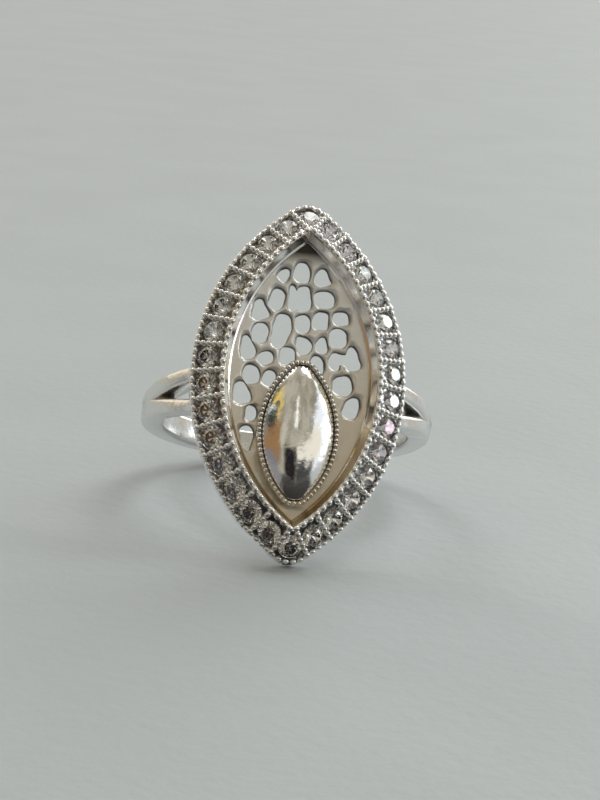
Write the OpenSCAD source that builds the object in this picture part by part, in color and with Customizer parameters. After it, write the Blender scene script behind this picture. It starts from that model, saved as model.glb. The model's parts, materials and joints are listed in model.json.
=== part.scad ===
// Silver ring with a pierced navette head, a halo of round clear stones, a
// polished navette dome in a collar, and a shank that forks at both shoulders.
// Millimetres. The ring lies on its side as it would by itself: the lower tip
// of the head and the back of the shank touch z = 0. The head faces -Y.

/* [Shank] */
// Inner diameter of the shank, the finger size
finger_d = 16.8; // [16.4:0.2:17.2]
// Thickness of the shank
shank_t = 1.5; // [1.4:0.1:1.7]
// Width of the shank behind the fork
shank_w = 1.8; // [1.7:0.1:2.2]
// Angle above the middle of the ring at which the shank forks
fork_angle = 21; // [17:1:25]
// Half the spread of the two rails behind the head, outer faces
rail_reach = 2; // [1.9:0.05:2.2]
// Width of one rail behind the head
rail_w = 0.65; // [0.6:0.05:0.8]

/* [Head] */
// Half the width of the head
head_half_w = 6.95; // [6.75:0.05:7.2]
// Distance from the long axis to the centre of each side's arc
arc_offset = 7; // [6.8:0.1:7.3]
// Radius of the rounded tips
tip_r = 1.8; // [1.5:0.1:2.1]
// How far the head's middle lies up the finger from the shank's
head_shift = 0.3; // [0:0.05:0.5]
// Height of the head's outer edge above the middle of the finger
head_level = 10.3; // [10.1:0.1:10.7]
// Lean of the head to one side, as on the ring in the photo
head_lean = 5; // [0:1:6]
// Width of the stone face, seen from the front
halo_w = 1.8; // [1.75:0.05:1.9]
// Rise of the stone face from its outer to its inner edge
halo_rise = 1.2; // [1.1:0.05:1.3]
// Thickness of the pierced plate
plate_t = 0.5; // [0.4:0.05:0.6]

/* [Stones] */
// Stones along one side, between the two on the tips
side_stones = 14; // [13:1:14]
// Girdle diameter of a stone
stone_d = 1.5; // [1.4:0.05:1.5]

/* [Dome] */
// Width of the polished dome
dome_w = 4.6; // [4.4:0.1:4.7]
// Length of the polished dome
dome_l = 8.7; // [8.4:0.1:8.8]
// Height of the dome above the pierced plate
dome_h = 1.7; // [1.3:0.1:2]
// How far the dome's middle lies below the middle of the head
dome_drop = 3.55; // [3.4:0.05:3.6]

/* [Hidden] */
round_fn = 96;
finger_r = finger_d / 2;
shank_r = finger_r + shank_t;

// The halo's section: x runs inwards from the outer edge, y is height over head_level.
// The stone face climbs to a small ridge, and a polished bevel falls to the plate
edge_wall = 0.45;
rim_depth = 0.6;
rim_under = 0.25;
heel_w = 0.5;
ridge_w = 0.25;
ridge_h = 0.16;
bevel_w = 0.48;
bevel_drop = 0.85;
plate_hold = 0.25;
plate_top = halo_rise - bevel_drop;
plate_edge = halo_w + ridge_w + bevel_w;
halo_turn = atan(halo_rise / halo_w);

// A navette is the lens between two arcs, so its half length follows from its half width
arc_r = arc_offset + head_half_w;
function navette_l(half_w) = sqrt(pow(arc_offset + half_w, 2) - pow(arc_offset, 2));

// Each tip is rounded by a circle that just clears the two arcs where it passes them
tip_clear = 0.03;
tip_centre = sqrt(pow(arc_r - tip_r + tip_clear, 2) - pow(arc_offset, 2));
tip_line = tip_centre + tip_r * sin(atan(tip_centre / arc_offset));
head_half_l = tip_centre + tip_r;

// The stones stand half way across the halo, at equal steps along its two arcs.
// The two on the tips are pulled in and lean along the ridge where the sides meet
row_half_w = head_half_w - halo_w / 2;
row_half_l = navette_l(row_half_w);
row_angle = asin(row_half_l / (arc_offset + row_half_w));
stone_step = 2 * row_angle / (side_stones + 1);
stone_count = 2 * side_stones + 2;
tip_pull = 0.28;
tip_turn = atan(halo_rise / (navette_l(head_half_w) - navette_l(head_half_w - halo_w)));
function stone_name(i) = str("stone_", i < 9 ? "0" : "", i + 1);

// Cut of the stones, as shares of the girdle diameter
table_share = 0.56;
star_share = 0.78;
star_level = 0.09;
crown_share = 0.16;
girdle_share = 0.04;
break_share = 0.27;
break_level = 0.32;
pavilion_share = 0.43;
facet_edge = 0.002;
culet_r = 0.01;

// How the stones sit: girdle under the face, clearance, and the hole behind, which just
// breaks through the back of the halo
girdle_sink = 0.04;
seat_gap = 0.04;
pilot_r = 0.42;
pilot_depth = 1;

// Grains: small raised beads of metal at the corners between two stones
grain_r = 0.17;
grain_out = 0.2;
grain_root = 0.3;
grain_side = 0.52;

// The shoulders leave the hoop at shoulder_turn from the top and rise to the halo
shoulder_turn = 43;
bore_turn = 40;
spread_start = 1;
rail_x = 6;
rail_t = 1.2;
rail_top = head_level + 1;
rail_end = 0.15;

// The dome stands in its collar on a ledge of the plate, with a straight side below
// its crown, which follows an arc of dome_arc degrees from its middle to its edge. A lens
// that is to have an even look grows more at its point than at its sides, and the point
// is then filed blunt
dome_gap = 0.05;
dome_seat = 0.25;
dome_ledge = 0.35;
dome_wall = 0.5;
dome_side = 0.9;
dome_arc = 30;
dome_steps = 7;
collar_w = 0.24;
collar_h = 0.7;
tip_growth = 1.8;
tip_blunt = 0.5;

// Pierced cells of the plate, charted by eye: x and y of the middle, width and
// height, turn in degrees, and how much the cell narrows towards its top. A cell
// with lobes has a row for each lobe, and they overlap
CELL_X = 0;
CELL_Y = 1;
CELL_W = 2;
CELL_H = 3;
CELL_TURN = 4;
CELL_TAPER = 5;
cells = [
    [-1.35, 6.97, 0.72, 0.98, -30, 0.45],
    [-0.2, 7.2, 1.02, 1.28, 0, 0],
    [1.14, 7, 1, 1.2, 8, 0.5],
    [-1.72, 5.25, 0.92, 1.48, -8, 0],
    [-2.76, 4.5, 1, 1.4, 8, 0.5],
    [-0.02, 5.47, 1.12, 1.7, 0, 0],
    [-0.68, 5.45, 0.55, 1.75, 4, 0.3],
    [1.38, 5.55, 1.3, 1.2, 0, 0],
    [-2.68, 2.92, 1.02, 1.35, -5, 0],
    [-1.33, 3.25, 1.15, 2.3, -10, -0.1],
    [0.08, 3.83, 1.05, 1.2, 0, 0],
    [1.22, 4.12, 1.06, 1.2, -8, 0],
    [2.55, 4.4, 1, 0.95, 10, 0],
    [2.4, 3.05, 1.12, 1.28, 5, 0],
    [0.28, 2.38, 1.15, 1.1, -80, 0.4],
    [1.38, 2.52, 0.76, 1.1, 0, 0.2],
    [-3.42, 1.95, 0.85, 1.55, 12, 0.4],
    [-2.22, 1.33, 1.05, 0.88, 25, 0],
    [-0.85, 1.6, 1.05, 1.2, 0, 0],
    [-3.05, 0.15, 1.02, 1.2, -8, 0],
    [-1.88, 0.08, 0.86, 1.05, -25, 0.2],
    [1.1, 1.15, 0.86, 1.28, 0, 0.1],
    [2.3, 1.55, 0.75, 1.15, -8, 0],
    [2.83, 1.68, 1.1, 0.75, 0, 0],
    [3.4, 1.82, 0.82, 1.6, 8, 0.4],
    [2.85, 0.02, 1.18, 1.3, 0, 0],
    [-3.62, -1.05, 1, 1.5, 10, 0.4],
    [-2.95, -2.38, 0.78, 0.98, 0, 0],
    [3.5, -1.4, 0.92, 1.5, -20, 0.3],
    [-3.1, -3.95, 0.7, 1.55, 8, -0.5],
];
cell_points = 14;

// Lying on its side, the ring touches the floor with the head's lower tip and
// with the lower edge of the shank's back, and the line between them is level. The
// rounded tip reaches in to where the rim is tip_depth deep
tip_y = head_shift - head_half_l;
tip_inset = arc_r - sqrt(pow(arc_offset, 2) + pow(head_half_l, 2));
tip_depth = edge_wall + (rim_depth - edge_wall) * tip_inset / heel_w;
foot_y = -shank_w / 2;
rest_lean = atan((foot_y - tip_y) / (head_level - tip_depth + shank_r));
rest_drop = shank_r * sin(rest_lean) - foot_y * cos(rest_lean);

// The floor print runs from the ridge at the lower tip to the back of the shank
ridge_y = head_shift - navette_l(head_half_w - halo_w);
ridge_top = head_level + halo_rise + ridge_h;
rest_front = ridge_y * sin(rest_lean) - ridge_top * cos(rest_lean);
rest_back = shank_r * cos(rest_lean) - foot_y * sin(rest_lean);
rest_shift = -(rest_front + rest_back) / 2;

// From the ring's own frame (x across, y along the finger, z out through the head)
// to the floor
module rest() {
    translate([0, rest_shift, rest_drop])
        rotate([90 - rest_lean, 0, 0])
            children();
}

// From the head's frame, whose z = 0 is the halo's outer edge, to the ring's
module head_place() {
    translate([0, head_shift, head_level])
        rotate([0, head_lean, 0])
            children();
}

module dome_place() {
    translate([0, -dome_drop, plate_top])
        children();
}

// A place on the row of stones, counted in steps from the tip that the side starts
// at, turned square to the stone face. Stones past the lower tip use the other side
module row_place(i, step, across = 0) {
    a = row_angle - step * stone_step;
    rotate(i > side_stones ? 180 : 0)
        translate([-arc_offset, 0, halo_rise / 2])
            rotate(a)
                translate([arc_offset + row_half_w, 0, 0])
                    rotate([0, halo_turn, 0])
                        translate([across, 0, 0])
                            children();
}

// The first stone stands on the upper tip. The rest run down the right side, round
// the lower tip and up the left side
module stone_place(i) {
    step = i % (side_stones + 1);
    if (step > 0)
        row_place(i, step)
            children();
    else
        rotate(i > side_stones ? -90 : 90)
            translate([row_half_l - tip_pull, 0, halo_rise / 2])
                rotate([0, tip_turn, 0])
                    children();
}

// One side of the halo, a turned ring cut at the long axis
module rim_side(section) {
    reach = 2 * arc_r;
    intersection() {
        translate([-arc_offset, 0, 0])
            rotate_extrude($fn = round_fn)
                translate([arc_r, 0])
                    polygon([for (p = section) [-p[0], p[1]]]);
        translate([0, -reach, -reach])
            cube(2 * reach);
    }
}

// What lies outside the round of a tip
module tip_cut() {
    linear_extrude(4 * halo_rise, center = true)
        difference() {
            translate([-tip_r, tip_line])
                square(2 * tip_r);
            translate([0, tip_centre])
                circle(r = tip_r, $fn = round_fn);
        }
}

module halo_rim() {
    section = [
        [0, 0],
        [halo_w, halo_rise],
        [halo_w, halo_rise + ridge_h],
        [halo_w + ridge_w, halo_rise + ridge_h],
        [halo_w + ridge_w, halo_rise],
        [plate_edge, plate_top],
        [plate_edge, plate_top - plate_t],
        [plate_edge - plate_hold, plate_top - plate_t],
        [halo_w, rim_under],
        [heel_w, -rim_depth],
        [0, -edge_wall],
    ];
    difference() {
        union() {
            rim_side(section);
            mirror([1, 0, 0])
                rim_side(section);
        }
        tip_cut();
        rotate(180)
            tip_cut();
    }
}

module navette(half_w) {
    intersection_for (side = [-1, 1])
        translate([side * arc_offset, 0])
            circle(r = arc_offset + half_w, $fn = round_fn);
}

// One cell: an oval of cell_points corners that narrows towards its top
module pebble(row) {
    translate([row[CELL_X], row[CELL_Y]])
        rotate(row[CELL_TURN])
            polygon([for (i = [0 : cell_points - 1])
                let (t = 360 * i / cell_points)
                [
                    row[CELL_W] / 2 * cos(t) * (1 - row[CELL_TAPER] * sin(t)),
                    row[CELL_H] / 2 * sin(t)
                ]]);
}

module pierced_plate() {
    translate([0, 0, plate_top - plate_t])
        linear_extrude(plate_t)
            difference() {
                navette(head_half_w - plate_edge + plate_hold);
                for (row = cells)
                    pebble(row);
            }
}

// The dome's outline, grown outwards or, below zero, inwards
module dome_lens(grow) {
    w = dome_w + 2 * grow;
    point_l = dome_l + tip_blunt + 2 * tip_growth * grow;
    r = (point_l * point_l + w * w) / (4 * w);
    intersection() {
        circle(d = dome_l + 2 * grow);
        intersection_for (side = [-1, 1])
            translate([side * (r - w / 2), 0])
                circle(r = r);
    }
}

module collar() {
    dome_place()
        translate([0, 0, -plate_t])
            linear_extrude(plate_t + collar_h)
                dome_lens(dome_gap + collar_w, $fn = round_fn);
}

// Room for the dome in its collar, and the opening of the plate behind it
module collar_well() {
    dome_place()
        translate([0, 0, -dome_seat])
            linear_extrude(dome_h)
                dome_lens(dome_gap, $fn = round_fn);
    dome_place()
        translate([0, 0, -2 * plate_t])
            linear_extrude(3 * plate_t)
                dome_lens(-dome_ledge, $fn = round_fn);
}

// The seat is cut down through the face, and a hole runs on through the back
module seat() {
    r = stone_d / 2 + seat_gap;
    shoulder = girdle_sink + girdle_share * stone_d + seat_gap;
    depth = pavilion_share * stone_d + 2 * seat_gap;
    rotate_extrude($fn = 32)
        polygon([
            [0, stone_d],
            [r, stone_d],
            [r, -shoulder],
            [pilot_r, -depth],
            [pilot_r, -pilot_depth],
            [0, -pilot_depth],
        ]);
}

// Two grains between this stone and the next, one on each edge of the face
module grains(i) {
    step = i % (side_stones + 1);
    if (step > 0 && step < side_stones)
        for (side = [-1, 1])
            row_place(i, step + 0.5, side * grain_side)
                translate([0, 0, -grain_root])
                    cylinder(r = grain_r, h = grain_root + grain_out, $fn = 8);
}

// The hoop seen along the finger, with shoulders that rise to the head
module hoop_outline() {
    x_out = shank_r * sin(shoulder_turn);
    z_out = shank_r * cos(shoulder_turn);
    x_in = finger_r * sin(bore_turn);
    z_in = finger_r * cos(bore_turn);
    top_in = rail_x - rail_t;
    difference() {
        union() {
            circle(r = shank_r, $fn = round_fn);
            polygon([[-x_out, z_out], [x_out, z_out], [rail_x, rail_top], [-rail_x, rail_top]]);
        }
        circle(r = finger_r, $fn = round_fn);
        polygon([[-x_in, z_in], [x_in, z_in], [top_in, rail_top], [-top_in, rail_top]]);
    }
}

// The hoop seen from the side: even at the back, spread towards the head, and slit
// by the fork
module side_outline() {
    slot = rail_reach - rail_w;
    difference() {
        polygon([
            [-shank_w / 2, -2 * shank_r],
            [shank_w / 2, -2 * shank_r],
            [shank_w / 2, spread_start],
            [rail_reach, rail_top],
            [-rail_reach, rail_top],
            [-shank_w / 2, spread_start],
        ]);
        polygon([[0, shank_r * sin(fork_angle)], [slot, rail_top], [-slot, rail_top]]);
    }
}

module shank() {
    difference() {
        intersection() {
            rotate([90, 0, 0])
                linear_extrude(4 * rail_reach, center = true)
                    hoop_outline();
            rotate([90, 0, 90])
                linear_extrude(4 * shank_r, center = true)
                    side_outline();
        }
        // The rails end inside the metal of the halo
        head_place()
            translate([-2 * shank_r, -shank_r, rail_end])
                cube([4 * shank_r, 2 * shank_r, shank_r]);
    }
}

// The seats are cut last, so the rails behind the halo leave room for the stones too
module silver_mount() {
    color("silver")
        rest()
            difference() {
                union() {
                    shank();
                    head_place() {
                        halo_rim();
                        pierced_plate();
                        collar();
                        for (i = [0 : stone_count - 1])
                            grains(i);
                    }
                }
                head_place() {
                    collar_well();
                    for (i = [0 : stone_count - 1])
                        stone_place(i)
                            seat();
                }
            }
}

// Stacked outlines that draw in as they rise give the dome its crown
module crowned(grow, h) {
    sheet = 0.01;
    least = 0.02;
    hull() {
        linear_extrude(dome_side)
            dome_lens(grow, $fn = 32);
        for (k = [1 : dome_steps]) {
            lean = dome_arc * (1 - k / dome_steps);
            share = max(sin(lean) / sin(dome_arc), least);
            rise = (cos(lean) - cos(dome_arc)) / (1 - cos(dome_arc));
            translate([0, 0, dome_side + (h - dome_side) * rise])
                linear_extrude(sheet)
                    scale([share, share])
                        dome_lens(grow, $fn = 32);
        }
    }
}

// The dome is a hollow shell, open behind
module polished_dome() {
    height = dome_h + dome_seat;
    below = 0.02;
    color("gainsboro")
        rest()
            head_place()
                dome_place()
                    translate([0, 0, dome_gap - dome_seat])
                        difference() {
                            crowned(0, height);
                            translate([0, 0, -below])
                                crowned(-dome_wall, height - dome_wall);
                        }
}

// Round brilliant: table, star and kite facets over the girdle, eight mains below
module brilliant(d) {
    hull() {
        translate([0, 0, crown_share * d])
            cylinder(d = table_share * d, h = facet_edge, $fn = 8);
        translate([0, 0, star_level * d])
            rotate(22.5)
                cylinder(d = star_share * d, h = facet_edge, $fn = 8);
        translate([0, 0, -girdle_share * d])
            cylinder(d = d, h = girdle_share * d, $fn = 16);
        translate([0, 0, -(girdle_share + break_level) * d])
            rotate(22.5)
                cylinder(d = break_share * d, h = facet_edge, $fn = 8);
        translate([0, 0, -(girdle_share + pavilion_share) * d])
            cylinder(r = culet_r, h = facet_edge, $fn = 8);
    }
}

module stone(i) {
    color("white")
        rest()
            head_place()
                stone_place(i)
                    translate([0, 0, -girdle_sink])
                        brilliant(stone_d);
}

silver_mount();
polished_dome();
for (i = [0 : stone_count - 1])
    stone(i);
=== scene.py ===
import json
import math

import bmesh
import bpy
from mathutils import Matrix, Vector, noise


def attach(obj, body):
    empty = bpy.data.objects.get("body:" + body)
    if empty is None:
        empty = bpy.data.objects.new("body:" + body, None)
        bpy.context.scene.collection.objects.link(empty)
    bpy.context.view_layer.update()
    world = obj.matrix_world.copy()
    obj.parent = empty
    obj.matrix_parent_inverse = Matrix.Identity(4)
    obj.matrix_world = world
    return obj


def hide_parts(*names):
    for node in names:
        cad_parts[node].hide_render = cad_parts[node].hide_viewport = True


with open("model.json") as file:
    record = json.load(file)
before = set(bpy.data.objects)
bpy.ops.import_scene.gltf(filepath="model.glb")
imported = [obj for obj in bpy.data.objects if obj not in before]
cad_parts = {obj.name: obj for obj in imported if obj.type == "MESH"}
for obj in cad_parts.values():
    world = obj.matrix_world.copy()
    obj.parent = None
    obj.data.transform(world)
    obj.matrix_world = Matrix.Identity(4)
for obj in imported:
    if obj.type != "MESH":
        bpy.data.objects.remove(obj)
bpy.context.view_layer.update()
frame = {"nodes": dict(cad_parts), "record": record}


# Where the ring lies
# A cast silver dress ring that lies on its side as it would by itself: the lower tip of the
# head and the back of the shank touch the floor. Its pieces are shaped in millimetres, in
# the ring's own frame or in the head's, and are then laid down by RING or HEAD.
MM = 0.001
bore = frame["record"]["mounts"][0]
finger = Vector(bore["axis"])
finger_r = bore["dims"]["r_mm"]
head_shift = 0.3
head_level = 10.3
head_lean = 5
rest_turn = 90 - math.degrees(math.atan2(finger.y, finger.z))


def moved(x, y, z):
    return Matrix.Translation((x, y, z))


def turned(degrees, axis="Z"):
    return Matrix.Rotation(math.radians(degrees), 4, axis)


ON_HOOP = moved(0, head_shift, head_level) @ turned(head_lean, "Y")
RING = Matrix.Translation(bore["pos_m"]) @ turned(rest_turn, "X") @ Matrix.Scale(MM, 4)
HEAD = RING @ ON_HOOP


# Silver finish
# Cast sterling silver under a bright rhodium flash. The open faces stay white and mirror
# bright, with hairline scratches. The dish of the head has gone a warm tan, most at its
# lower end and beside the dome; at the lower end the tan is partly a painted warm reflection.
# Dark brown on the walls of the pierced plate and on the collar, and near black on the stone
# face round the stones, is painted shade, and there the gloss is duller as well.
silver_white = (0.93, 0.925, 0.91, 1)
silver_tan = (0.80, 0.685, 0.52, 1)
silver_brown = (0.30, 0.235, 0.18, 1)
# A near black that greys handled silver and is the painted shade on the stone face, and a dark brown
# that is the painted shade on walls
handled_and_shade_dark = (0.07, 0.065, 0.06, 1)
wall_shade_brown = (0.035, 0.028, 0.022, 1)
# The head's outline, and the stone face that slopes up to its ridge
arc_offset = 7
head_half_w = 6.95
arc_r = arc_offset + head_half_w
halo_w = 1.8
halo_rise = 1.2
ridge_w = 0.25
# How fine, how deep and how dull the marks of the finish are, and where they fade in
dent_scale = 0.9
dent_h = 0.8
grain_scale = 14
grain_h = 0.08
worn_edge = (0.35, 0.75)
scratch_scale = (34, 2, 8)
scratch_turn = (0.4, 0.3, 0.7)
scratch_edge = (0.62, 0.74)
scratch_dull = 0.06
scratch_h = 0.015
patch_scale = 0.75
patch_edge = (0.3, 0.62)
patch_least = 0.5
freckle_scale = 3.2
freckle_edge = (0.56, 0.8)
# The tan in the dish: how it grows towards the lower end, partly tarnish and partly a painted warm
# reflection, its least share, how it dulls, and how far in it starts
tan_and_reflection_low = (5, -6)
stain_least = 0.15
stain_dull = 0.25
stain_inset = 0.1
grit_scale = 9
bump_depth = 0.05
# Painted shade on the stone face: where it begins in from the outer edge and ends at the ridge, how far
# down into the seats it reaches, how much it dulls the gloss, and its random lighter patches
face_shade_outer_edge = (0.04, 0.2)
face_shade_inner_edge = (1.8, 1.68)
face_shade_deep = (-0.9, -0.6)
face_shade_dull = 0.3
glint_scale = 5
glint_edge = (0.62, 0.5)
glint_share = 0.6


class Wiring:
    """Short ways to add nodes to a tree and to join them."""

    def __init__(self, tree):
        self.tree = tree

    def join(self, value, socket):
        if isinstance(value, bpy.types.NodeSocket):
            self.tree.links.new(value, socket)
        else:
            socket.default_value = value

    def node(self, kind, settings=None, **inputs):
        made = self.tree.nodes.new("ShaderNode" + kind)
        for label, value in (settings or {}).items():
            setattr(made, label, value)
        for label, value in inputs.items():
            self.join(value, made.inputs[label.replace("_", " ")])
        return made

    def math(self, operation, *values, clamp=False):
        made = self.node("Math", {"operation": operation, "use_clamp": clamp})
        for value, socket in zip(values, made.inputs):
            self.join(value, socket)
        return made.outputs[0]

    def mix(self, share, a, b):
        made = self.node("MixRGB", Fac=share, Color1=a, Color2=b)
        return made.outputs[0]

    def fade(self, value, start, end):
        """0 at start and 1 at end, smooth between."""
        made = self.node("MapRange", {"interpolation_type": "SMOOTHSTEP"}, Value=value,
                         From_Min=start, From_Max=end)
        return made.outputs[0]

    def noise(self, vector, scale, detail=2, roughness=0.5):
        made = self.node("TexNoise", Vector=vector, Scale=scale, Detail=detail, Roughness=roughness)
        return made.outputs[0]


def new_group(name, inputs, outputs):
    """A shader node group with named sockets: inputs as name: (type, default)."""
    group = bpy.data.node_groups.new(name, "ShaderNodeTree")
    for label, (kind, value) in inputs.items():
        socket = group.interface.new_socket(label, in_out="INPUT", socket_type="NodeSocket" + kind)
        socket.default_value = value
    for label, kind in outputs.items():
        group.interface.new_socket(label, in_out="OUTPUT", socket_type="NodeSocket" + kind)
    given = group.nodes.new("NodeGroupInput").outputs
    out = group.nodes.new("NodeGroupOutput").inputs
    return Wiring(group), given, out


def head_position():
    """Where a point lies on the head, in millimetres, and how far in from the outer edge."""
    w, _, out = new_group("head_position", {}, {"Position": "Vector", "Across": "Float",
                                                "Up": "Float", "Height": "Float"})
    place, facing, size = HEAD.inverted().decompose()
    local = w.node("Mapping", Vector=w.node("TexCoord").outputs["Object"], Location=place,
                   Rotation=facing.to_euler(), Scale=size).outputs[0]
    x, y, z = w.node("SeparateXYZ", Vector=local).outputs
    side = w.math("ADD", w.math("ABSOLUTE", x), arc_offset)
    reach = w.math("SQRT", w.math("ADD", w.math("MULTIPLY", side, side), w.math("MULTIPLY", y, y)))
    w.join(local, out["Position"])
    w.join(w.math("SUBTRACT", arc_r, reach), out["Across"])
    w.join(y, out["Up"])
    w.join(z, out["Height"])
    return w.tree


def hand_polish():
    """Hairline scratches, soft dents and the uneven gloss of hand polished cast silver."""
    w, given, out = new_group("hand_polish", {"Position": ("Vector", (0, 0, 0)), "Gloss": ("Float", 0.1),
                                              "Wear": ("Float", 0.1)},
                              {"Roughness": "Float", "Height": "Float"})
    position = given["Position"]
    dents = w.noise(position, dent_scale, detail=3)
    grain = w.noise(position, grain_scale, detail=4, roughness=0.6)
    hair = w.node("Mapping", Vector=position, Scale=scratch_scale, Rotation=scratch_turn).outputs[0]
    scratch = w.fade(w.noise(hair, 1), *scratch_edge)
    worn = w.math("MULTIPLY", w.fade(grain, *worn_edge), given["Wear"])
    dull = w.math("ADD", w.math("ADD", given["Gloss"], worn), w.math("MULTIPLY", scratch, scratch_dull))
    height = w.math("ADD", w.math("MULTIPLY", dents, dent_h), w.math("MULTIPLY", grain, grain_h))
    w.join(dull, out["Roughness"])
    w.join(w.math("SUBTRACT", height, w.math("MULTIPLY", scratch, scratch_h)), out["Height"])
    return w.tree


def warm_tarnish():
    """Clean silver turned tan in soft patches, with brown freckles."""
    w, given, out = new_group("warm_tarnish", {"Position": ("Vector", (0, 0, 0)),
                                               "Amount": ("Float", 0.5)},
                              {"Color": "Color", "Dull": "Float"})
    position = given["Position"]
    amount = given["Amount"]
    patch = w.fade(w.noise(position, patch_scale, detail=5, roughness=0.6), *patch_edge)
    cover = w.math("ADD", w.math("MULTIPLY", patch, 1 - patch_least), patch_least)
    share = w.math("MULTIPLY", cover, amount, clamp=True)
    freckle = w.fade(w.noise(position, freckle_scale, detail=4, roughness=0.7), *freckle_edge)
    spots = w.math("MULTIPLY", freckle, amount, clamp=True)
    tan = w.mix(share, silver_white, silver_tan)
    w.join(w.mix(spots, tan, silver_brown), out["Color"])
    w.join(spots, out["Dull"])
    return w.tree


HEAD_POSITION = head_position()
HAND_POLISH = hand_polish()
WARM_TARNISH = warm_tarnish()


def silver(name, gloss, wear, dents, tarnish=0.0, grit=0.0, face_shade=0.0, wall_shade=0.0, handled=0.0,
           mirror=1.0):
    """Bright cast silver: how matt, worn and dented it is, how warm inside the head, how much
    painted shade lies on the stone face round the stones and on the mesh's own walls, how grey
    from handling, and how much is mirror rather than the white bloom of pickling."""
    material = bpy.data.materials.new(name)
    material.use_nodes = True
    w = Wiring(material.node_tree)
    shader = material.node_tree.nodes["Principled BSDF"].inputs
    shader["Metallic"].default_value = mirror
    place = w.node("Group", {"node_tree": HEAD_POSITION}).outputs
    position = place["Position"]
    polish = w.node("Group", {"node_tree": HAND_POLISH}, Position=position, Gloss=gloss,
                    Wear=wear).outputs
    inside = w.fade(place["Across"], halo_w + stain_inset, halo_w + ridge_w + stain_inset)
    # The tan grows towards the lower end of the head: partly tarnish, partly a painted warm reflection
    low = w.math("MULTIPLY", w.fade(place["Up"], *tan_and_reflection_low), 1 - stain_least)
    low = w.math("ADD", low, stain_least)
    amount = w.math("MULTIPLY", w.math("MULTIPLY", inside, low), tarnish)
    stain = w.node("Group", {"node_tree": WARM_TARNISH}, Position=position, Amount=amount).outputs
    rough = w.math("ADD", polish["Roughness"], w.math("MULTIPLY", stain["Dull"], stain_dull))
    height = w.math("MULTIPLY", polish["Height"], dents)
    if grit:
        sand = w.noise(position, grit_scale, detail=3)
        height = w.math("ADD", height, w.math("MULTIPLY", sand, grit))
    bump = w.node("Bump", Height=height, Distance=bump_depth * MM, Strength=1)
    color = w.mix(handled, stain["Color"], handled_and_shade_dark)
    if face_shade:
        # Painted shade on the stone face, from just inside its outer edge to the ridge and down into the
        # seats, patchy at random; it dulls the gloss there too
        across = place["Across"]
        face = w.math("MULTIPLY", w.fade(across, *face_shade_outer_edge), w.fade(across, *face_shade_inner_edge))
        slope = w.math("MULTIPLY", across, halo_rise / halo_w)
        over = w.math("SUBTRACT", place["Height"], slope)
        glint = w.fade(w.noise(position, glint_scale, detail=3), *glint_edge)
        face_shade_share = w.math("MULTIPLY", w.math("MULTIPLY", face, w.fade(over, *face_shade_deep)), face_shade)
        patchy = w.math("ADD", w.math("MULTIPLY", glint, glint_share), 1 - glint_share)
        face_shade_share = w.math("MULTIPLY", face_shade_share, patchy)
        color = w.mix(face_shade_share, color, handled_and_shade_dark)
        rough = w.math("ADD", rough, w.math("MULTIPLY", face_shade_share, face_shade_dull))
    # Painted shade on the walls that the mesh marks in its wall attribute
    if wall_shade:
        wall = w.node("Attribute", {"attribute_name": "wall"}).outputs["Fac"]
        color = w.mix(w.math("MULTIPLY", wall, wall_shade), color, wall_shade_brown)
    w.join(color, shader["Base Color"])
    w.join(rough, shader["Roughness"])
    w.join(bump.outputs[0], shader["Normal"])
    return material


# Halo
# The navette rim of the head, cast in one with the rest of the mount. Its outer face slopes
# up to a ridge and holds the row of stones, each in a seat cut with a burr. Inside the ridge
# a polished bevel falls to the pierced plate, with a small step drawn along its foot.
ridge_h = 0.16
bevel_w = 0.48
bevel_drop = 0.85
step_w = 0.2
step_h = 0.26
step_edge_w = 0.05
step_edge_h = 0.17
plate_edge = halo_w + ridge_w + bevel_w
plate_top = halo_rise - bevel_drop
plate_t = 0.5
plate_hold = 0.25
rim_under = 0.25
heel_w = 0.5
rim_depth = 0.6
edge_wall = 0.45
rim_section = [
    (0, 0),
    (halo_w, halo_rise),
    (halo_w, halo_rise + ridge_h),
    (halo_w + ridge_w, halo_rise + ridge_h),
    (halo_w + ridge_w, halo_rise),
    (plate_edge - step_w, plate_top + step_h),
    (plate_edge - step_edge_w, plate_top + step_edge_h),
    (plate_edge, plate_top),
    (plate_edge, plate_top - plate_t),
    (plate_edge - plate_hold, plate_top - plate_t),
    (halo_w, rim_under),
    (heel_w, -rim_depth),
    (0, -edge_wall),
]
rim_soft = 0.04
weld = 1e-4
on_plane = 1e-5
rim_reach = 60.5
rim_steps = 64
tip_r = 1.8
tip_clear = 0.03
tip_centre = math.sqrt((arc_r - tip_r + tip_clear) ** 2 - arc_offset ** 2)

# The stones stand half way across the face, at equal steps along its two arcs
side_stones = 14
stone_count = 2 * side_stones + 2
stone_d = 1.5
seat_gap = 0.04
row_half_w = head_half_w - halo_w / 2
halo_turn = math.degrees(math.atan(halo_rise / halo_w))
tip_pull = 0.28
burr_h = 1.2
burr_r = stone_d / 2 + seat_gap
burr_shoulder = 0.14
pilot_r = 0.42
pilot_start = 0.72
pilot_depth = 1
burr = [
    (0, burr_h),
    (burr_r, burr_h),
    (burr_r, -burr_shoulder),
    (pilot_r, -pilot_start),
    (pilot_r, -pilot_depth),
    (0, -pilot_depth),
]
burr_sides = 24


def navette_l(half_w):
    """Half the length of the navette of this half width."""
    return math.sqrt((arc_offset + half_w) ** 2 - arc_offset ** 2)


row_half_l = navette_l(row_half_w)
row_angle = math.degrees(math.asin(row_half_l / (arc_offset + row_half_w)))
stone_step = 2 * row_angle / (side_stones + 1)
tip_run = navette_l(head_half_w) - navette_l(head_half_w - halo_w)
tip_turn = math.degrees(math.atan(halo_rise / tip_run))


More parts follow.
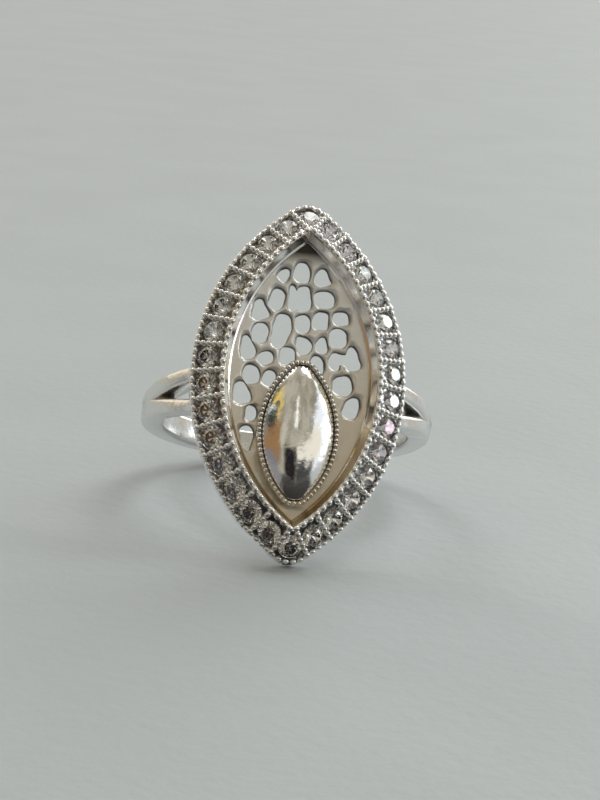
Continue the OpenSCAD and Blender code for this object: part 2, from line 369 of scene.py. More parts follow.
def row_place(i, step, across=0):
    """A place on the row, counted in steps from the tip that the side starts at."""
    side = turned(180 if i > side_stones else 0) @ moved(-arc_offset, 0, halo_rise / 2)
    along = turned(row_angle - step * stone_step) @ moved(arc_offset + row_half_w, 0, 0)
    return side @ along @ turned(halo_turn, "Y") @ moved(across, 0, 0)


def stone_place(i):
    """Stone 0 stands on the upper tip. The rest run down the right side and up the left."""
    step = i % (side_stones + 1)
    if step:
        return row_place(i, step)
    tip = turned(-90 if i else 90) @ moved(row_half_l - tip_pull, 0, halo_rise / 2)
    return tip @ turned(tip_turn, "Y")


def everything(bm):
    return bm.verts[:] + bm.edges[:] + bm.faces[:]


def joined(parts):
    """One bmesh from several, which are used up."""
    bm = bmesh.new()
    for part in parts:
        mesh = bpy.data.meshes.new("part")
        part.to_mesh(mesh)
        part.free()
        bm.from_mesh(mesh)
        bpy.data.meshes.remove(mesh)
    return bm


def stamped(part, places):
    """One bmesh with a copy of the part at each place."""
    copies = []
    for place in places:
        copies.append(part.copy())
        bmesh.ops.transform(copies[-1], matrix=place, verts=copies[-1].verts)
    part.free()
    return joined(copies)


def reworked(bm, tool=None, skin=None):
    """The bmesh with the tool cut away and, given a skin size, with a fresh even mesh."""
    bench = []
    for part in filter(None, (bm, tool)):
        bmesh.ops.recalc_face_normals(part, faces=part.faces)
        mesh = bpy.data.meshes.new("bench")
        part.to_mesh(mesh)
        part.free()
        bench.append(bpy.data.objects.new("bench", mesh))
        bpy.context.scene.collection.objects.link(bench[-1])
    if tool is not None:
        cut = bench[0].modifiers.new("cut", "BOOLEAN")
        cut.operation = "DIFFERENCE"
        cut.solver = "EXACT"
        cut.object = bench[1]
        cut.use_self = True
    if skin is not None:
        remesh = bench[0].modifiers.new("skin", "REMESH")
        remesh.mode = "VOXEL"
        remesh.voxel_size = skin
    result = bmesh.new()
    result.from_object(bench[0], bpy.context.evaluated_depsgraph_get())
    for item in bench:
        bpy.data.meshes.remove(item.data)
    return result


def finished(name, bm, place, material, crease=40):
    """A piece of the ring from a bmesh in millimetres, smooth up to the crease angle."""
    bmesh.ops.remove_doubles(bm, verts=bm.verts, dist=weld)
    bmesh.ops.recalc_face_normals(bm, faces=bm.faces)
    mesh = bpy.data.meshes.new(name)
    bm.to_mesh(mesh)
    bm.free()
    mesh.transform(place)
    mesh.shade_smooth()
    mesh.set_sharp_from_angle(angle=math.radians(crease))
    mesh.materials.append(material)
    piece = bpy.data.objects.new(name, mesh)
    bpy.context.scene.collection.objects.link(piece)
    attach(piece, "root")
    return piece


def seat_burr():
    """What the burr cuts: a straight wall round the girdle, a cone, and a hole behind."""
    bm = bmesh.new()
    profile = [bm.verts.new((x, 0, z)) for x, z in burr]
    edges = [bm.edges.new(ends) for ends in zip(profile, profile[1:])]
    bmesh.ops.spin(bm, geom=profile + edges, cent=(0, 0, 0), axis=(0, 0, 1),
                   angle=2 * math.pi, steps=burr_sides, use_merge=True)
    bmesh.ops.remove_doubles(bm, verts=bm.verts, dist=weld)
    return bm


def halo_rim():
    bm = bmesh.new()
    corners = [bm.verts.new((head_half_w - x, 0, z)) for x, z in rim_section]
    bm.faces.new(corners)
    bmesh.ops.bevel(bm, geom=corners, affect="VERTICES", offset=rim_soft, segments=3,
                    profile=0.5, material=-1)
    bmesh.ops.delete(bm, geom=bm.faces[:], context="FACES_ONLY")
    centre = (-arc_offset, 0, 0)
    bmesh.ops.transform(bm, matrix=moved(*centre) @ turned(-rim_reach) @ moved(arc_offset, 0, 0),
                        verts=bm.verts)
    bmesh.ops.spin(bm, geom=everything(bm), cent=centre, axis=(0, 0, 1),
                   angle=math.radians(2 * rim_reach), steps=rim_steps)
    bmesh.ops.bisect_plane(bm, geom=everything(bm), dist=on_plane, plane_co=(0, 0, 0),
                           plane_no=(1, 0, 0), clear_inner=True)
    bmesh.ops.mirror(bm, geom=everything(bm), axis="X", merge_dist=weld)
    # Both tips are filed round
    for v in bm.verts:
        tip = Vector((0, math.copysign(tip_centre, v.co.y)))
        out = v.co.xy - tip
        if abs(v.co.y) > tip_centre and out.length > tip_r:
            v.co.xy = tip + out * (tip_r / out.length)
    return reworked(bm, stamped(seat_burr(), [stone_place(i) for i in range(stone_count)]))


# The stone face round the stones is darkened as painted shade
silver_halo = silver("silver_halo", gloss=0.1, wear=0.12, dents=0.5, tarnish=0.9, face_shade=0.9)
halo = finished("halo_rim", halo_rim(), HEAD, silver_halo, crease=50)
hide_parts("silver_mount")


# Beads and bars
# The caster's grains that hold the stones. A bar of five grains crosses the face between
# two stones, a row of small grains runs along the outer edge, and a row of round beads
# stands on the ridge. They are one with the halo and polished with it.
bead_rings = 6
bead_sides = 10
# Half the size of a bead outwards, along its row and up
edge_bead = (0.18, 0.225, 0.2)
edge_bead_in = 0.16
edge_bead_pitch = 0.467
ridge_bead = (0.21, 0.25, 0.23)
ridge_bead_in = 1.86
ridge_bead_pitch = 0.535
# Each grain of a bar: its place across the face, and half its size
bar_grains = [(-0.82, 0.23), (-0.41, 0.21), (0, 0.2), (0.41, 0.21), (0.82, 0.23)]
bar_stretch = 1.2
bar_grain_h = 0.29


def bead():
    bm = bmesh.new()
    bmesh.ops.create_uvsphere(bm, u_segments=bead_sides, v_segments=bead_rings, radius=1)
    return bm


def navette_walk(runs, pitch):
    """Even steps along one half of a navette, then the other. A run is an arc of that half:
    its centre, its radius, and the angles that it starts at and sweeps."""
    total = sum(r * sweep for _, _, r, _, sweep in runs)
    half = round(total / pitch)
    for k in range(2 * half):
        s = (k % half + 0.5) / half * total
        for x, y, r, start, sweep in runs:
            if s <= r * sweep:
                break
            s -= r * sweep
        angle = start + s / r
        spot = turned(180 * (k // half)) @ moved(x + r * math.cos(angle), y + r * math.sin(angle), 0)
        yield spot @ turned(math.degrees(angle))


def side_run(radius, offset, end):
    return -offset, 0, radius, -end, 2 * end


def beads_and_bars():
    places = []
    end = math.atan2(tip_centre, arc_offset)
    runs = [side_run(arc_r - edge_bead_in, arc_offset, end),
            (0, tip_centre, tip_r - edge_bead_in, end, math.pi - 2 * end)]
    edge_level = edge_bead_in * halo_rise / halo_w
    for spot in navette_walk(runs, edge_bead_pitch):
        places.append(spot @ moved(0, 0, edge_level) @ Matrix.Diagonal((*edge_bead, 1)))
    radius = arc_r - ridge_bead_in
    runs = [side_run(radius, arc_offset, math.acos(arc_offset / radius))]
    for spot in navette_walk(runs, ridge_bead_pitch):
        places.append(spot @ moved(0, 0, halo_rise + ridge_h / 2) @ Matrix.Diagonal((*ridge_bead, 1)))
    for i in range(stone_count):
        for across, size in bar_grains:
            grain = row_place(i, i % (side_stones + 1) + 0.5, across)
            places.append(grain @ Matrix.Diagonal((size * bar_stretch, size, bar_grain_h, 1)))
    return stamped(bead(), places)


silver_bead = silver("silver_bead", gloss=0.08, wear=0.08, dents=0.3, mirror=0.8)
beads = finished("beads_and_bars", beads_and_bars(), HEAD, silver_bead, crease=80)
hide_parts("silver_mount")


# Pierced plate
# The floor of the head, cast with open cells of uneven shape like the veins of a leaf. The
# wires between them are round from polishing, and the plate is dished a little and open
# behind the dome.

# The cells are charted: x and y of the middle, width, height, turn in degrees, and how
# much the cell narrows towards its top. A cell with lobes has a row for each
cells = [
    (-1.35, 6.97, 0.72, 0.98, -30, 0.45),
    (-0.2, 7.2, 1.02, 1.28, 0, 0),
    (1.14, 7, 1, 1.2, 8, 0.5),
    (-1.72, 5.25, 0.92, 1.48, -8, 0),
    (-2.76, 4.5, 1, 1.4, 8, 0.5),
    (-0.02, 5.47, 1.12, 1.7, 0, 0),
    (-0.68, 5.45, 0.55, 1.75, 4, 0.3),
    (1.38, 5.55, 1.3, 1.2, 0, 0),
    (-2.68, 2.92, 1.02, 1.35, -5, 0),
    (-1.33, 3.25, 1.15, 2.3, -10, -0.1),
    (0.08, 3.83, 1.05, 1.2, 0, 0),
    (1.22, 4.12, 1.06, 1.2, -8, 0),
    (2.55, 4.4, 1, 0.95, 10, 0),
    (2.4, 3.05, 1.12, 1.28, 5, 0),
    (0.28, 2.38, 1.15, 1.1, -80, 0.4),
    (1.38, 2.52, 0.76, 1.1, 0, 0.2),
    (-3.42, 1.95, 0.85, 1.55, 12, 0.4),
    (-2.22, 1.33, 1.05, 0.88, 25, 0),
    (-0.85, 1.6, 1.05, 1.2, 0, 0),
    (-3.05, 0.15, 1.02, 1.2, -8, 0),
    (-1.88, 0.08, 0.86, 1.05, -25, 0.2),
    (1.1, 1.15, 0.86, 1.28, 0, 0.1),
    (2.3, 1.55, 0.75, 1.15, -8, 0),
    (2.83, 1.68, 1.1, 0.75, 0, 0),
    (3.4, 1.82, 0.82, 1.6, 8, 0.4),
    (2.85, 0.02, 1.18, 1.3, 0, 0),
    (-3.62, -1.05, 1, 1.5, 10, 0.4),
    (-2.95, -2.38, 0.78, 0.98, 0, 0),
    (3.5, -1.4, 0.92, 1.5, -20, 0.3),
    (-3.1, -3.95, 0.7, 1.55, 8, -0.5),
]
cell_corners = 32
cell_square = 0.76
# The mouth's steps: how deep under the plate's top, and how far it spreads there
cell_mouth = [(0.32, -0.02), (0.16, 0.06), (0.04, 0.18), (-0.04, 0.36)]
hole_h = 3
hole_low = -1
plate_skin = 0.055
plate_soften = 4
wander = 0.11
wander_scale = 1.5
wander_seed = 1
dish_depth = 0.16
# The painted shade on the plate: how steep a wall must be to take it, how light from above and from the
# right spares the walls that face it, and where the upper tip darkens
wall_slope = 0.78
wall_fade = 0.35
wall_level = 0.85
wall_from_above = 0.55
wall_from_right = 0.45
apex_shade = 7.6
apex_fade = 0.9
dome_w = 4.6
dome_l = 8.7
dome_drop = 3.55
dome_ledge = 0.35
tip_growth = 1.8
tip_blunt = 0.5
ON_PLATE = moved(0, -dome_drop, plate_top)


def lifted(bm, height, spread=(1, 1)):
    """Draws a flat face up into a solid, whose top may be spread wider."""
    made = bmesh.ops.extrude_face_region(bm, geom=bm.faces[:])["geom"]
    top = [v for v in made if isinstance(v, bmesh.types.BMVert)]
    bmesh.ops.translate(bm, verts=top, vec=(0, 0, height))
    bmesh.ops.scale(bm, verts=top, vec=(*spread, 1))
    return bm


def navette_solid(width, length, height, steps=40):
    """A solid between two equal arcs, standing on the level z = 0."""
    radius = (length ** 2 + width ** 2) / (4 * width)
    bm = bmesh.new()
    start = bm.verts.new((0, -length / 2, 0))
    bmesh.ops.spin(bm, geom=[start], cent=(width / 2 - radius, 0, 0), axis=(0, 0, 1),
                   angle=2 * math.asin(length / 2 / radius), steps=steps)
    bmesh.ops.mirror(bm, geom=bm.verts[:] + bm.edges[:], axis="X", merge_dist=weld)
    bmesh.ops.edgeloop_fill(bm, edges=bm.edges[:])
    return lifted(bm, height)


def dome_size(grow):
    """The dome's width and length, grown more at its points than at its sides, and the
    radius that its points are filed blunt to."""
    return dome_w + 2 * grow, dome_l + tip_blunt + 2 * tip_growth * grow, dome_l / 2 + grow


def dome_solid(grow, height):
    width, length, blunt = dome_size(grow)
    bm = navette_solid(width, length, height)
    for v in bm.verts:
        if v.co.xy.length > blunt:
            v.co.xy = v.co.xy.normalized() * blunt
    return bm


def cell_outline(width, height, taper):
    bm = bmesh.new()
    bmesh.ops.create_circle(bm, cap_ends=True, radius=1, segments=cell_corners)
    for v in bm.verts:
        narrow = 1 - taper * v.co.y
        side, up = (math.copysign(abs(c) ** cell_square, c) for c in v.co.xy)
        v.co.xy = side * narrow * width / 2, up * height / 2
    return bm


def cell_solid(x, y, width, height, angle, taper):
    """A hole straight through the plate, and a mouth that widens in steps to round the wires."""
    parts = [lifted(cell_outline(width, height, taper), hole_h)]
    bmesh.ops.translate(parts[0], verts=parts[0].verts, vec=(0, 0, hole_low))
    for (low, inner), (high, outer) in zip(cell_mouth, cell_mouth[1:]):
        start, end = (Vector((width + 2 * grow, height + 2 * grow)) for grow in (inner, outer))
        step = lifted(cell_outline(*start, taper), low - high, (end.x / start.x, end.y / start.y))
        bmesh.ops.translate(step, verts=step.verts, vec=(0, 0, plate_top - low))
        parts.append(step)
    bm = joined(parts)
    bmesh.ops.transform(bm, matrix=moved(x, y, 0) @ turned(angle), verts=bm.verts)
    return bm


def pierced_plate():
    half_w = head_half_w - plate_edge + plate_hold
    half_l = navette_l(half_w)
    body = navette_solid(2 * half_w, 2 * half_l, plate_t)
    bmesh.ops.translate(body, verts=body.verts, vec=(0, 0, plate_top - plate_t))
    opening = dome_solid(-dome_ledge, hole_h)
    bmesh.ops.transform(opening, matrix=ON_PLATE @ moved(0, 0, -hole_h / 2), verts=opening.verts)
    bm = reworked(body, joined([opening] + [cell_solid(*cell) for cell in cells]), skin=plate_skin)
    for _ in range(plate_soften):
        bmesh.ops.smooth_vert(bm, verts=bm.verts, factor=0.5, use_axis_x=True, use_axis_y=True,
                              use_axis_z=True)
    # The cast wires wander a little
    noise.seed_set(wander_seed)
    for v in bm.verts:
        v.co.xy += noise.noise_vector(v.co * wander_scale).xy * wander
    bm.normal_update()
    # Painted shade on the walls, most on those that face down or to the left, away from the light, and
    # over the upper tip
    wall = bm.verts.layers.float.new("wall")
    for v in bm.verts:
        steep = min(1, max(0, (wall_slope - abs(v.normal.z)) / wall_fade))
        lit = wall_from_above * v.normal.y + wall_from_right * v.normal.x
        below = min(1, max(0, wall_level - lit))
        v[wall] = min(1, max(steep * below, (v.co.y - apex_shade) / apex_fade))
        v.co.z -= dish_depth * max(0, 1 - (v.co.x / half_w) ** 2 - (v.co.y / half_l) ** 2)
    return bm


# The plate's walls take the full painted shade
silver_plate = silver("silver_plate", gloss=0.14, wear=0.12, dents=2.6, tarnish=0.8, grit=0.1,
                      wall_shade=1.0, mirror=0.42)
plate = finished("pierced_plate", pierced_plate(), HEAD, silver_plate, crease=80)
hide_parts("silver_mount")


# Collar
# A low wall that stands on the plate round the dome, with a row of milgrain beads rolled
# along its top. Its foot runs through the plate.
collar_w = 0.24
collar_h = 0.7
dome_gap = 0.05
milgrain = (0.15, 0.145, 0.18)
milgrain_pitch = 0.33
milgrain_lift = 0.02
milgrain_worn = -5.2
milgrain_sink = 0.11


def dome_walk(grow, pitch):
    """Even steps round the dome's outline, on the plate."""
    width, length, blunt = dome_size(grow)
    radius = (length ** 2 + width ** 2) / (4 * width)
    offset = radius - width / 2
    corner = (radius ** 2 - blunt ** 2 - offset ** 2) / (2 * offset)
    corner_turn = math.acos(corner / blunt)
    end = math.atan2(blunt * math.sin(corner_turn), corner + offset)
    runs = [side_run(radius, offset, end), (0, 0, blunt, corner_turn, math.pi - 2 * corner_turn)]
    return [ON_PLATE @ spot for spot in navette_walk(runs, pitch)]


def collar():
    bm = reworked(dome_solid(dome_gap + collar_w, plate_t + collar_h), dome_solid(dome_gap, hole_h))
    wall = bm.verts.layers.float.new("wall")
    # The whole collar takes the painted shade of a wall
    for v in bm.verts:
        v[wall] = 1
    bmesh.ops.transform(bm, matrix=ON_PLATE @ moved(0, 0, -plate_t), verts=bm.verts)
    return bm


def milgrain_row():
    places = []
    for spot in dome_walk(dome_gap + collar_w / 2, milgrain_pitch):
        worn = min(1, max(0, milgrain_worn - spot.translation.y))
        lift = collar_h + milgrain_lift - milgrain_sink * worn
        places.append(spot @ moved(0, 0, lift) @ Matrix.Diagonal((*milgrain, 1)))
    return stamped(bead(), places)


# The collar is darkened as painted shade
silver_collar = silver("silver_collar", gloss=0.12, wear=0.1, dents=0.4, tarnish=1.0, wall_shade=0.45)
wall = finished("dome_collar", collar(), HEAD, silver_collar)
silver_milgrain = silver("silver_milgrain", gloss=0.08, wear=0.08, dents=0.3, tarnish=0.4)
row = finished("collar_milgrain", milgrain_row(), HEAD, silver_milgrain, crease=80)
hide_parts("silver_mount")
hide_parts("silver_mount")


# Dome
# A navette cabochon of sheet silver, pressed hollow and mirror polished. It drops into the
# collar and is open behind. Its side is straight as far up as the collar holds it.
dome_h = 1.7
dome_seat = 0.25
dome_side = 0.9
dome_wall = 0.3
dome_sides = 72
dome_rings = 48
dome_arc = 30
dome_end_arc = 60


def crown(place, arc):
    """Flattens a half circle to a lower arc: a place along it, and the rise there."""
    top = math.radians(arc)
    lean = math.asin(max(-1, min(1, place))) * top / (math.pi / 2)
    return math.sin(lean) / math.sin(top), (math.cos(lean) - math.cos(top)) / (1 - math.cos(top))


def dome_skin(grow, height):
    """Half a sphere with its poles at the ends, each ring as wide as the navette there."""
    width, length, blunt = dome_size(grow)
    radius = (length ** 2 + width ** 2) / (4 * width)
    bm = bmesh.new()
    bmesh.ops.create_uvsphere(bm, u_segments=dome_sides, v_segments=dome_rings, radius=1)
    bmesh.ops.rotate(bm, verts=bm.verts, matrix=Matrix.Rotation(math.pi / 2, 3, "X"))
    bmesh.ops.bisect_plane(bm, geom=everything(bm), dist=on_plane, plane_co=(0, 0, 0),
                           plane_no=(0, 0, 1), clear_inner=True)
    for v in bm.verts:
        along, end_rise = crown(v.co.y, dome_end_arc)
        across, rise = crown(v.co.x / math.sqrt(max(1e-9, 1 - v.co.y ** 2)), dome_arc)
        y = along * blunt
        half = min(math.sqrt(radius ** 2 - y ** 2) - radius + width / 2,
                   math.sqrt(max(0, blunt ** 2 - y ** 2)))
        v.co = across * half, y, dome_side + rise * end_rise * (height - dome_side)
    foot = bmesh.ops.extrude_edge_only(bm, edges=[e for e in bm.edges if e.is_boundary])["geom"]
    for v in foot:
        if isinstance(v, bmesh.types.BMVert):
            v.co.z = 0
    return bm


def polished_dome():
    height = dome_h + dome_seat
    outside = dome_skin(0, height)
    inside = dome_skin(-dome_wall, height - dome_wall)
    bmesh.ops.reverse_faces(inside, faces=inside.faces)
    bm = joined([outside, inside])
    bmesh.ops.bridge_loops(bm, edges=[e for e in bm.edges if e.is_boundary])
    bmesh.ops.transform(bm, matrix=ON_PLATE @ moved(0, 0, dome_gap - dome_seat), verts=bm.verts)
    return bm


silver_dome = silver("silver_dome", gloss=0.05, wear=0.06, dents=1.0)
dome = finished("mirror_dome", polished_dome(), HEAD, silver_dome, crease=60)
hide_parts("polished_dome")


# Shank
# A cast hoop of even width at the back that spreads towards the head and forks at both
# shoulders into two rails, which run up into the halo. All its edges are worn round.
shank_t = 1.5
shank_r = finger_r + shank_t
shank_w = 1.8
fork_angle = 21
fork_level = shank_r * math.sin(math.radians(fork_angle))
rail_reach = 2
rail_w = 0.65
spread_start = 1
shoulder_turn = 43
bore_turn = 40
rail_x = 6
rail_t = 1.2
rail_top = head_level + 1
rail_end = 0.15
back_steps = 20
lower_steps = 2
upper_steps = 14
shank_soft = 0.24
shank_edge = 30
rail_stones = 2


def hoop_x(z, radius, leave, top_x):
    """Half the breadth of the hoop at a level: a circle, then straight up to the halo."""
    leave_z = radius * math.cos(math.radians(leave))
    leave_x = radius * math.sin(math.radians(leave))
    if z < leave_z:
        return math.sqrt(radius ** 2 - z ** 2)
    return leave_x + (top_x - leave_x) * (z - leave_z) / (rail_top - leave_z)


def station(k):
    """The hoop's section at step k: outer and inner place, and where it starts and ends in y."""
    if k <= back_steps:
        angle = math.pi / 2 * k / back_steps
        outer = shank_r * math.sin(angle), -shank_r * math.cos(angle)
        inner = finger_r * math.sin(angle), -finger_r * math.cos(angle)
    else:
        rise = k - back_steps
        z = fork_level * rise / lower_steps
        if rise > lower_steps:
            z = fork_level + (rail_top - fork_level) * (rise - lower_steps) / upper_steps
        outer = hoop_x(z, shank_r, shoulder_turn, rail_x), z
        inner = hoop_x(z, finger_r, bore_turn, rail_x - rail_t), z
    z = outer[1]
    widened = max(0, z - spread_start) / (rail_top - spread_start)
    spread = shank_w / 2 + (rail_reach - shank_w / 2) * widened
    slit = (rail_reach - rail_w) * max(0, z - fork_level) / (rail_top - fork_level)
    return outer, inner, slit, spread


def shank():
    steps = back_steps + lower_steps + upper_steps
    bm = bmesh.new()
    bmesh.ops.create_cube(bm, size=1, matrix=moved(0.5, 0.5, 0.5))
    long_edges = [e for e in bm.edges if abs(e.verts[0].co.z - e.verts[1].co.z) > 0.5]
    bmesh.ops.subdivide_edges(bm, edges=long_edges, cuts=steps - 1, use_grid_fill=True)
    # The bar is bent to the hoop: x picks its outer or inner face, y its inner or outer edge
    for v in bm.verts:
        outer, inner, slit, spread = station(round(v.co.z * steps))
        x, z = outer if v.co.x > 0.5 else inner
        v.co = x, spread if v.co.y > 0.5 else slit, z
    bmesh.ops.mirror(bm, geom=everything(bm), axis="Y", merge_dist=weld)
    bmesh.ops.mirror(bm, geom=everything(bm), axis="X", merge_dist=weld)
    shared = [f for f in bm.faces if all(abs(v.co.y) < weld for v in f.verts)
              or all(abs(v.co.x) < weld for v in f.verts)]
    bmesh.ops.delete(bm, geom=shared, context="FACES")
    bmesh.ops.recalc_face_normals(bm, faces=bm.faces)
    sharp = [e for e in bm.edges if e.calc_face_angle(0) > math.radians(shank_edge)]
    bmesh.ops.bevel(bm, geom=sharp, affect="EDGES", offset=shank_soft, segments=4, profile=0.5,
                    material=-1, clamp_overlap=True)
    end = ON_HOOP @ Vector((0, 0, rail_end))
    upward = ON_HOOP.to_3x3() @ Vector((0, 0, 1))
    bmesh.ops.bisect_plane(bm, geom=everything(bm), dist=on_plane, plane_co=end, plane_no=upward,
                           clear_outer=True)
    bmesh.ops.holes_fill(bm, edges=[e for e in bm.edges if e.is_boundary])
    # The rails leave room for the stones that stand over them
    middle = (side_stones + 1) / 2
    over = [i for i in range(stone_count) if abs(i % (side_stones + 1) - middle) < rail_stones]
    return reworked(bm, stamped(seat_burr(), [ON_HOOP @ stone_place(i) for i in over]))


silver_shank = silver("silver_shank", gloss=0.14, wear=0.16, dents=1.6, handled=0.16)
band = finished("forked_shank", shank(), RING, silver_shank, crease=50)
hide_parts("silver_mount")


# Stones
# Thirty round brilliants of cubic zirconia. From the front they look like grey glass with
# dark facets and white flashes. Those on the left are tinted a darker grey as painted shade,
# and a few on the right lilac.
lilac_stones = (2, 3, 9, 11, 13)
zirconia_ior = 2.16
tint_scale = 0.35
tint_edge = (0.4, 0.6)
smear_scale = 4
smear_edge = (0.55, 0.8)
smear_dull = 0.06


def zirconia(name, pale, deep):
    material = bpy.data.materials.new(name)
    material.use_nodes = True
    w = Wiring(material.node_tree)
    shader = material.node_tree.nodes["Principled BSDF"].inputs
    shader["Transmission Weight"].default_value = 1
    shader["IOR"].default_value = zirconia_ior
    position = w.node("Group", {"node_tree": HEAD_POSITION}).outputs["Position"]
    cast = w.noise(position, tint_scale, detail=1)
    tint = w.mix(w.fade(cast, *tint_edge), pale, deep)
    w.join(tint, shader["Base Color"])
    smear = w.fade(w.noise(position, smear_scale, detail=3), *smear_edge)
    w.join(w.math("MULTIPLY", smear, smear_dull), shader["Roughness"])
    return material


clear = zirconia("zirconia_clear", (0.97, 0.95, 0.98, 1), (0.93, 0.94, 0.91, 1))
lilac = zirconia("zirconia_lilac", (0.90, 0.86, 0.95, 1), (0.93, 0.90, 0.95, 1))
left_shade_glass = zirconia("zirconia_left_shade", (0.78, 0.76, 0.74, 1), (0.88, 0.87, 0.85, 1))
for name, node in frame["nodes"].items():
    if name.startswith("stone_"):
        place_in_row = int(name.split("_")[1])
        # The stones on the left side take the darker glass as painted shade
        glass = left_shade_glass if place_in_row > side_stones + 2 else clear
        if place_in_row in lilac_stones:
            glass = lilac
        node.data.materials.clear()
        node.data.materials.append(glass)


# Floor, light and camera
# A plain pale floor in a soft room. Polished silver shows the room, so it is made of plain
# cards: a bright one at the right, brown ones at the left, tan ones behind, and dark ones round
# the camera. A dark and a grey mat lie on the floor, where only reflections see them.
floor_size = 4
floor_color = (0.485, 0.53, 0.562, 1)
floor_pale = (0.5044, 0.5512, 0.58448, 1)
floor_cloud_scale = 60
floor_cloud_edge = (0.3, 0.7)
floor_grain_scale = 900
floor_relief = 0.0002
dark_mat_color = (0.02, 0.018, 0.02, 1)
grey_mat_color = (0.26, 0.265, 0.29, 1)
dark_mat = [(-0.006, -0.012), (0.012, -0.012), (0.83, -0.6), (-0.42, -0.6)]
grey_mat = [(-0.03, 0), (-0.006, -0.012), (-0.42, -0.6), (-1.2, -0.6), (-1.2, 0)]
mat_lift = 0.0005
room_color = (0.46, 0.43, 0.35, 1)
room_shade = (0.26, 0.235, 0.18, 1)
room_cloud_scale = 5
room_cloud_edge = (0.42, 0.62)
# Each card: azimuth (0 in front of the ring, 90 at its right), elevation, half its width and
# its height, how soft its edge is, all in degrees, and its colour
cards = [
    (180, 35, 60, 25, 20, (0.55, 0.48, 0.40)),
    (132, 62, 18, 11, 5, (4.2, 4.2, 4.1)),
    (-135, 54, 12, 10, 4, (4.0, 4.0, 3.9)),
    (146, 26, 18, 16, 5, (2.8, 2.9, 2.9)),
    (-134, 17, 24, 7, 5, (1.15, 1.02, 0.78)),
    (-76, 44.5, 18, 5.5, 1, (0.95, 0.68, 0.16)),
    (-59, 22, 16, 13, 3, (0.30, 0.175, 0.08)),
    (-84, 36, 20, 10, 2, (0.04, 0.05, 0.045)),
    (-89, 43, 5, 3.5, 1, (0.9, 0.62, 0.14)),
    (-84, 36, 3, 1.5, 1, (1.2, 1.25, 1.1)),
    (-74, 39, 3, 1.2, 1, (0.9, 0.95, 0.9)),
    (-88, 31, 3, 1.2, 1, (0.9, 0.95, 0.9)),
    (-66, 0, 20, 8, 3, (0.20, 0.205, 0.23)),
    (-88, 13, 12, 8, 3, (0.24, 0.245, 0.27)),
    (-34, 33, 8, 9, 3, (0.52, 0.49, 0.40)),
    (84, 19, 24, 17, 3, (0.9, 0.95, 0.98)),
    (103.5, 27.5, 2.6, 3, 1, (6.0, 6.6, 6.6)),
    (91.5, 14.5, 5, 4.6, 1, (6.0, 6.6, 6.6)),
    (84, 6.5, 2.5, 2.5, 1, (4.2, 3.2, 3.9)),
    (113, 37, 2, 2, 1, (2.6, 2.9, 2.9)),
    (42, 18, 33, 9, 3, (0.85, 0.81, 0.70)),
    (22, 4, 14, 12, 2, (0.06, 0.058, 0.06)),
    (46, 0, 12, 9.5, 2, (0.06, 0.058, 0.06)),
    (-12, 10, 16, 17, 2, (0.02, 0.016, 0.018)),
    (1, 53, 4.5, 10, 2, (1.1, 1.1, 1.0)),
]
camera_reach = 125
camera_below = 13.3
camera_left = 4.1
camera_roll = 3.4
pixels_per_mm = 15.7
frame_px = (600, 800)
look_px = (298.3, 386)


def floor_material():
    material = bpy.data.materials.new("pale_floor")
    material.use_nodes = True
    w = Wiring(material.node_tree)
    shader = material.node_tree.nodes["Principled BSDF"].inputs
    shader["Roughness"].default_value = 0.6
    shader["Specular IOR Level"].default_value = 0.2
    position = w.node("TexCoord").outputs["Object"]
    cloud = w.noise(position, floor_cloud_scale, detail=4)
    w.join(w.mix(w.fade(cloud, *floor_cloud_edge), floor_color, floor_pale), shader["Base Color"])
    grain = w.noise(position, floor_grain_scale, detail=3)
    bump = w.node("Bump", Height=grain, Distance=floor_relief, Strength=0.3)
    w.join(bump.outputs[0], shader["Normal"])
    return material


def flat_piece(name, corners, z, material):
    bm = bmesh.new()
    bm.faces.new([bm.verts.new((x, y, z)) for x, y in corners])
    mesh = bpy.data.meshes.new(name)
    bm.to_mesh(mesh)
    bm.free()
    mesh.materials.append(material)
    piece = bpy.data.objects.new(name, mesh)
    bpy.context.scene.collection.objects.link(piece)
    return piece


def reflected_mat(name, corners, color):
    material = bpy.data.materials.new(name)
    material.use_nodes = True
    shader = material.node_tree.nodes["Principled BSDF"].inputs
    shader["Base Color"].default_value = color
    shader["Roughness"].default_value = 0.9
    mat = flat_piece(name, corners, mat_lift, material)
    mat.visible_camera = False
    mat.visible_diffuse = False
    mat.visible_shadow = False


half = floor_size / 2
flat_piece("floor", [(-half, -half), (half, -half), (half, half), (-half, half)], 0, floor_material())
reflected_mat("dark_mat", dark_mat, dark_mat_color)
reflected_mat("grey_mat", grey_mat, grey_mat_color)


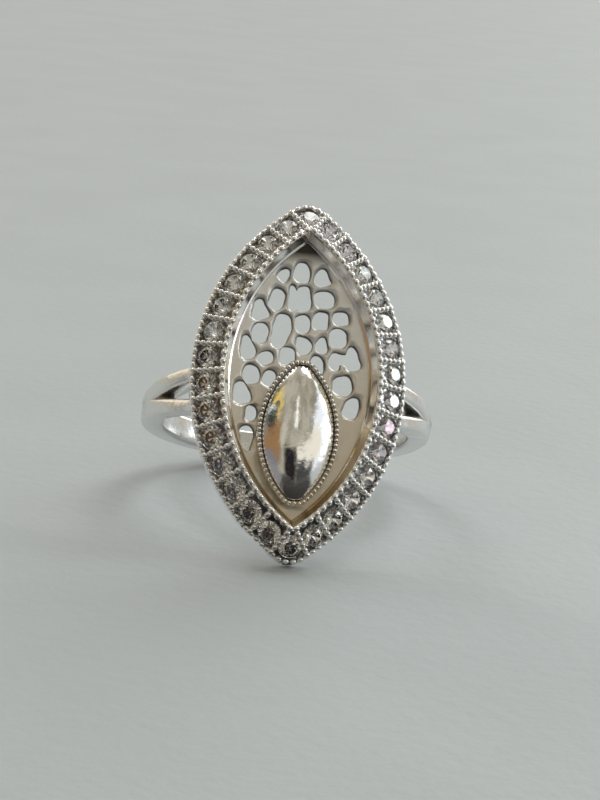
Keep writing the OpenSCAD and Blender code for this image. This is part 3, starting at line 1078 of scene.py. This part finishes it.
def room():
    world = bpy.data.worlds.new("room")
    world.use_nodes = True
    bpy.context.scene.world = world
    w = Wiring(world.node_tree)
    direction = w.node("TexCoord").outputs["Generated"]
    x, y, z = w.node("SeparateXYZ", Vector=direction).outputs
    azimuth = w.math("ARCTAN2", x, w.math("MULTIPLY", y, -1.0))
    elevation = w.math("ARCSINE", z)
    cloud = w.noise(direction, room_cloud_scale, detail=4)
    color = w.mix(w.fade(cloud, *room_cloud_edge), room_color, room_shade)
    for card in cards:
        to_side, to_top, half_w, half_h, soft = [math.radians(angle) for angle in card[:5]]
        beside = w.math("WRAP", w.math("SUBTRACT", azimuth, to_side), math.pi, -math.pi)
        above = w.math("SUBTRACT", elevation, to_top)
        inside = w.math("MULTIPLY", w.fade(w.math("ABSOLUTE", beside), half_w + soft, half_w),
                        w.fade(w.math("ABSOLUTE", above), half_h + soft, half_h))
        color = w.mix(inside, color, (*card[5], 1))
    w.join(color, world.node_tree.nodes["Background"].inputs["Color"])


room()

# The camera looks at the middle of the head from a little below and left, rolled clockwise
down = math.radians(camera_below)
left = math.radians(camera_left)
roll = math.radians(camera_roll)
back = Vector((-math.sin(left) * math.cos(down), -math.sin(down), math.cos(left) * math.cos(down)))
level_right = Vector((0, 1, 0)).cross(back).normalized()
level_up = back.cross(level_right)
right = level_right * math.cos(roll) + level_up * math.sin(roll)
up = level_up * math.cos(roll) - level_right * math.sin(roll)
spot = Vector((0, 0, head_level)) + back * camera_reach
spot -= right * (look_px[0] - frame_px[0] / 2) / pixels_per_mm
spot += up * (look_px[1] - frame_px[1] / 2) / pixels_per_mm
data = bpy.data.cameras.new("camera")
data.lens = camera_reach * pixels_per_mm / frame_px[1] * data.sensor_width
data.clip_start = 0.01
data.clip_end = 10
camera = bpy.data.objects.new("camera", data)
turn = RING.to_quaternion().to_matrix() @ Matrix((right, up, back)).transposed()
camera.matrix_world = Matrix.Translation(RING @ spot) @ turn.to_4x4()
bpy.context.scene.collection.objects.link(camera)
bpy.context.scene.camera = camera
bpy.context.scene.view_settings.view_transform = "Standard"
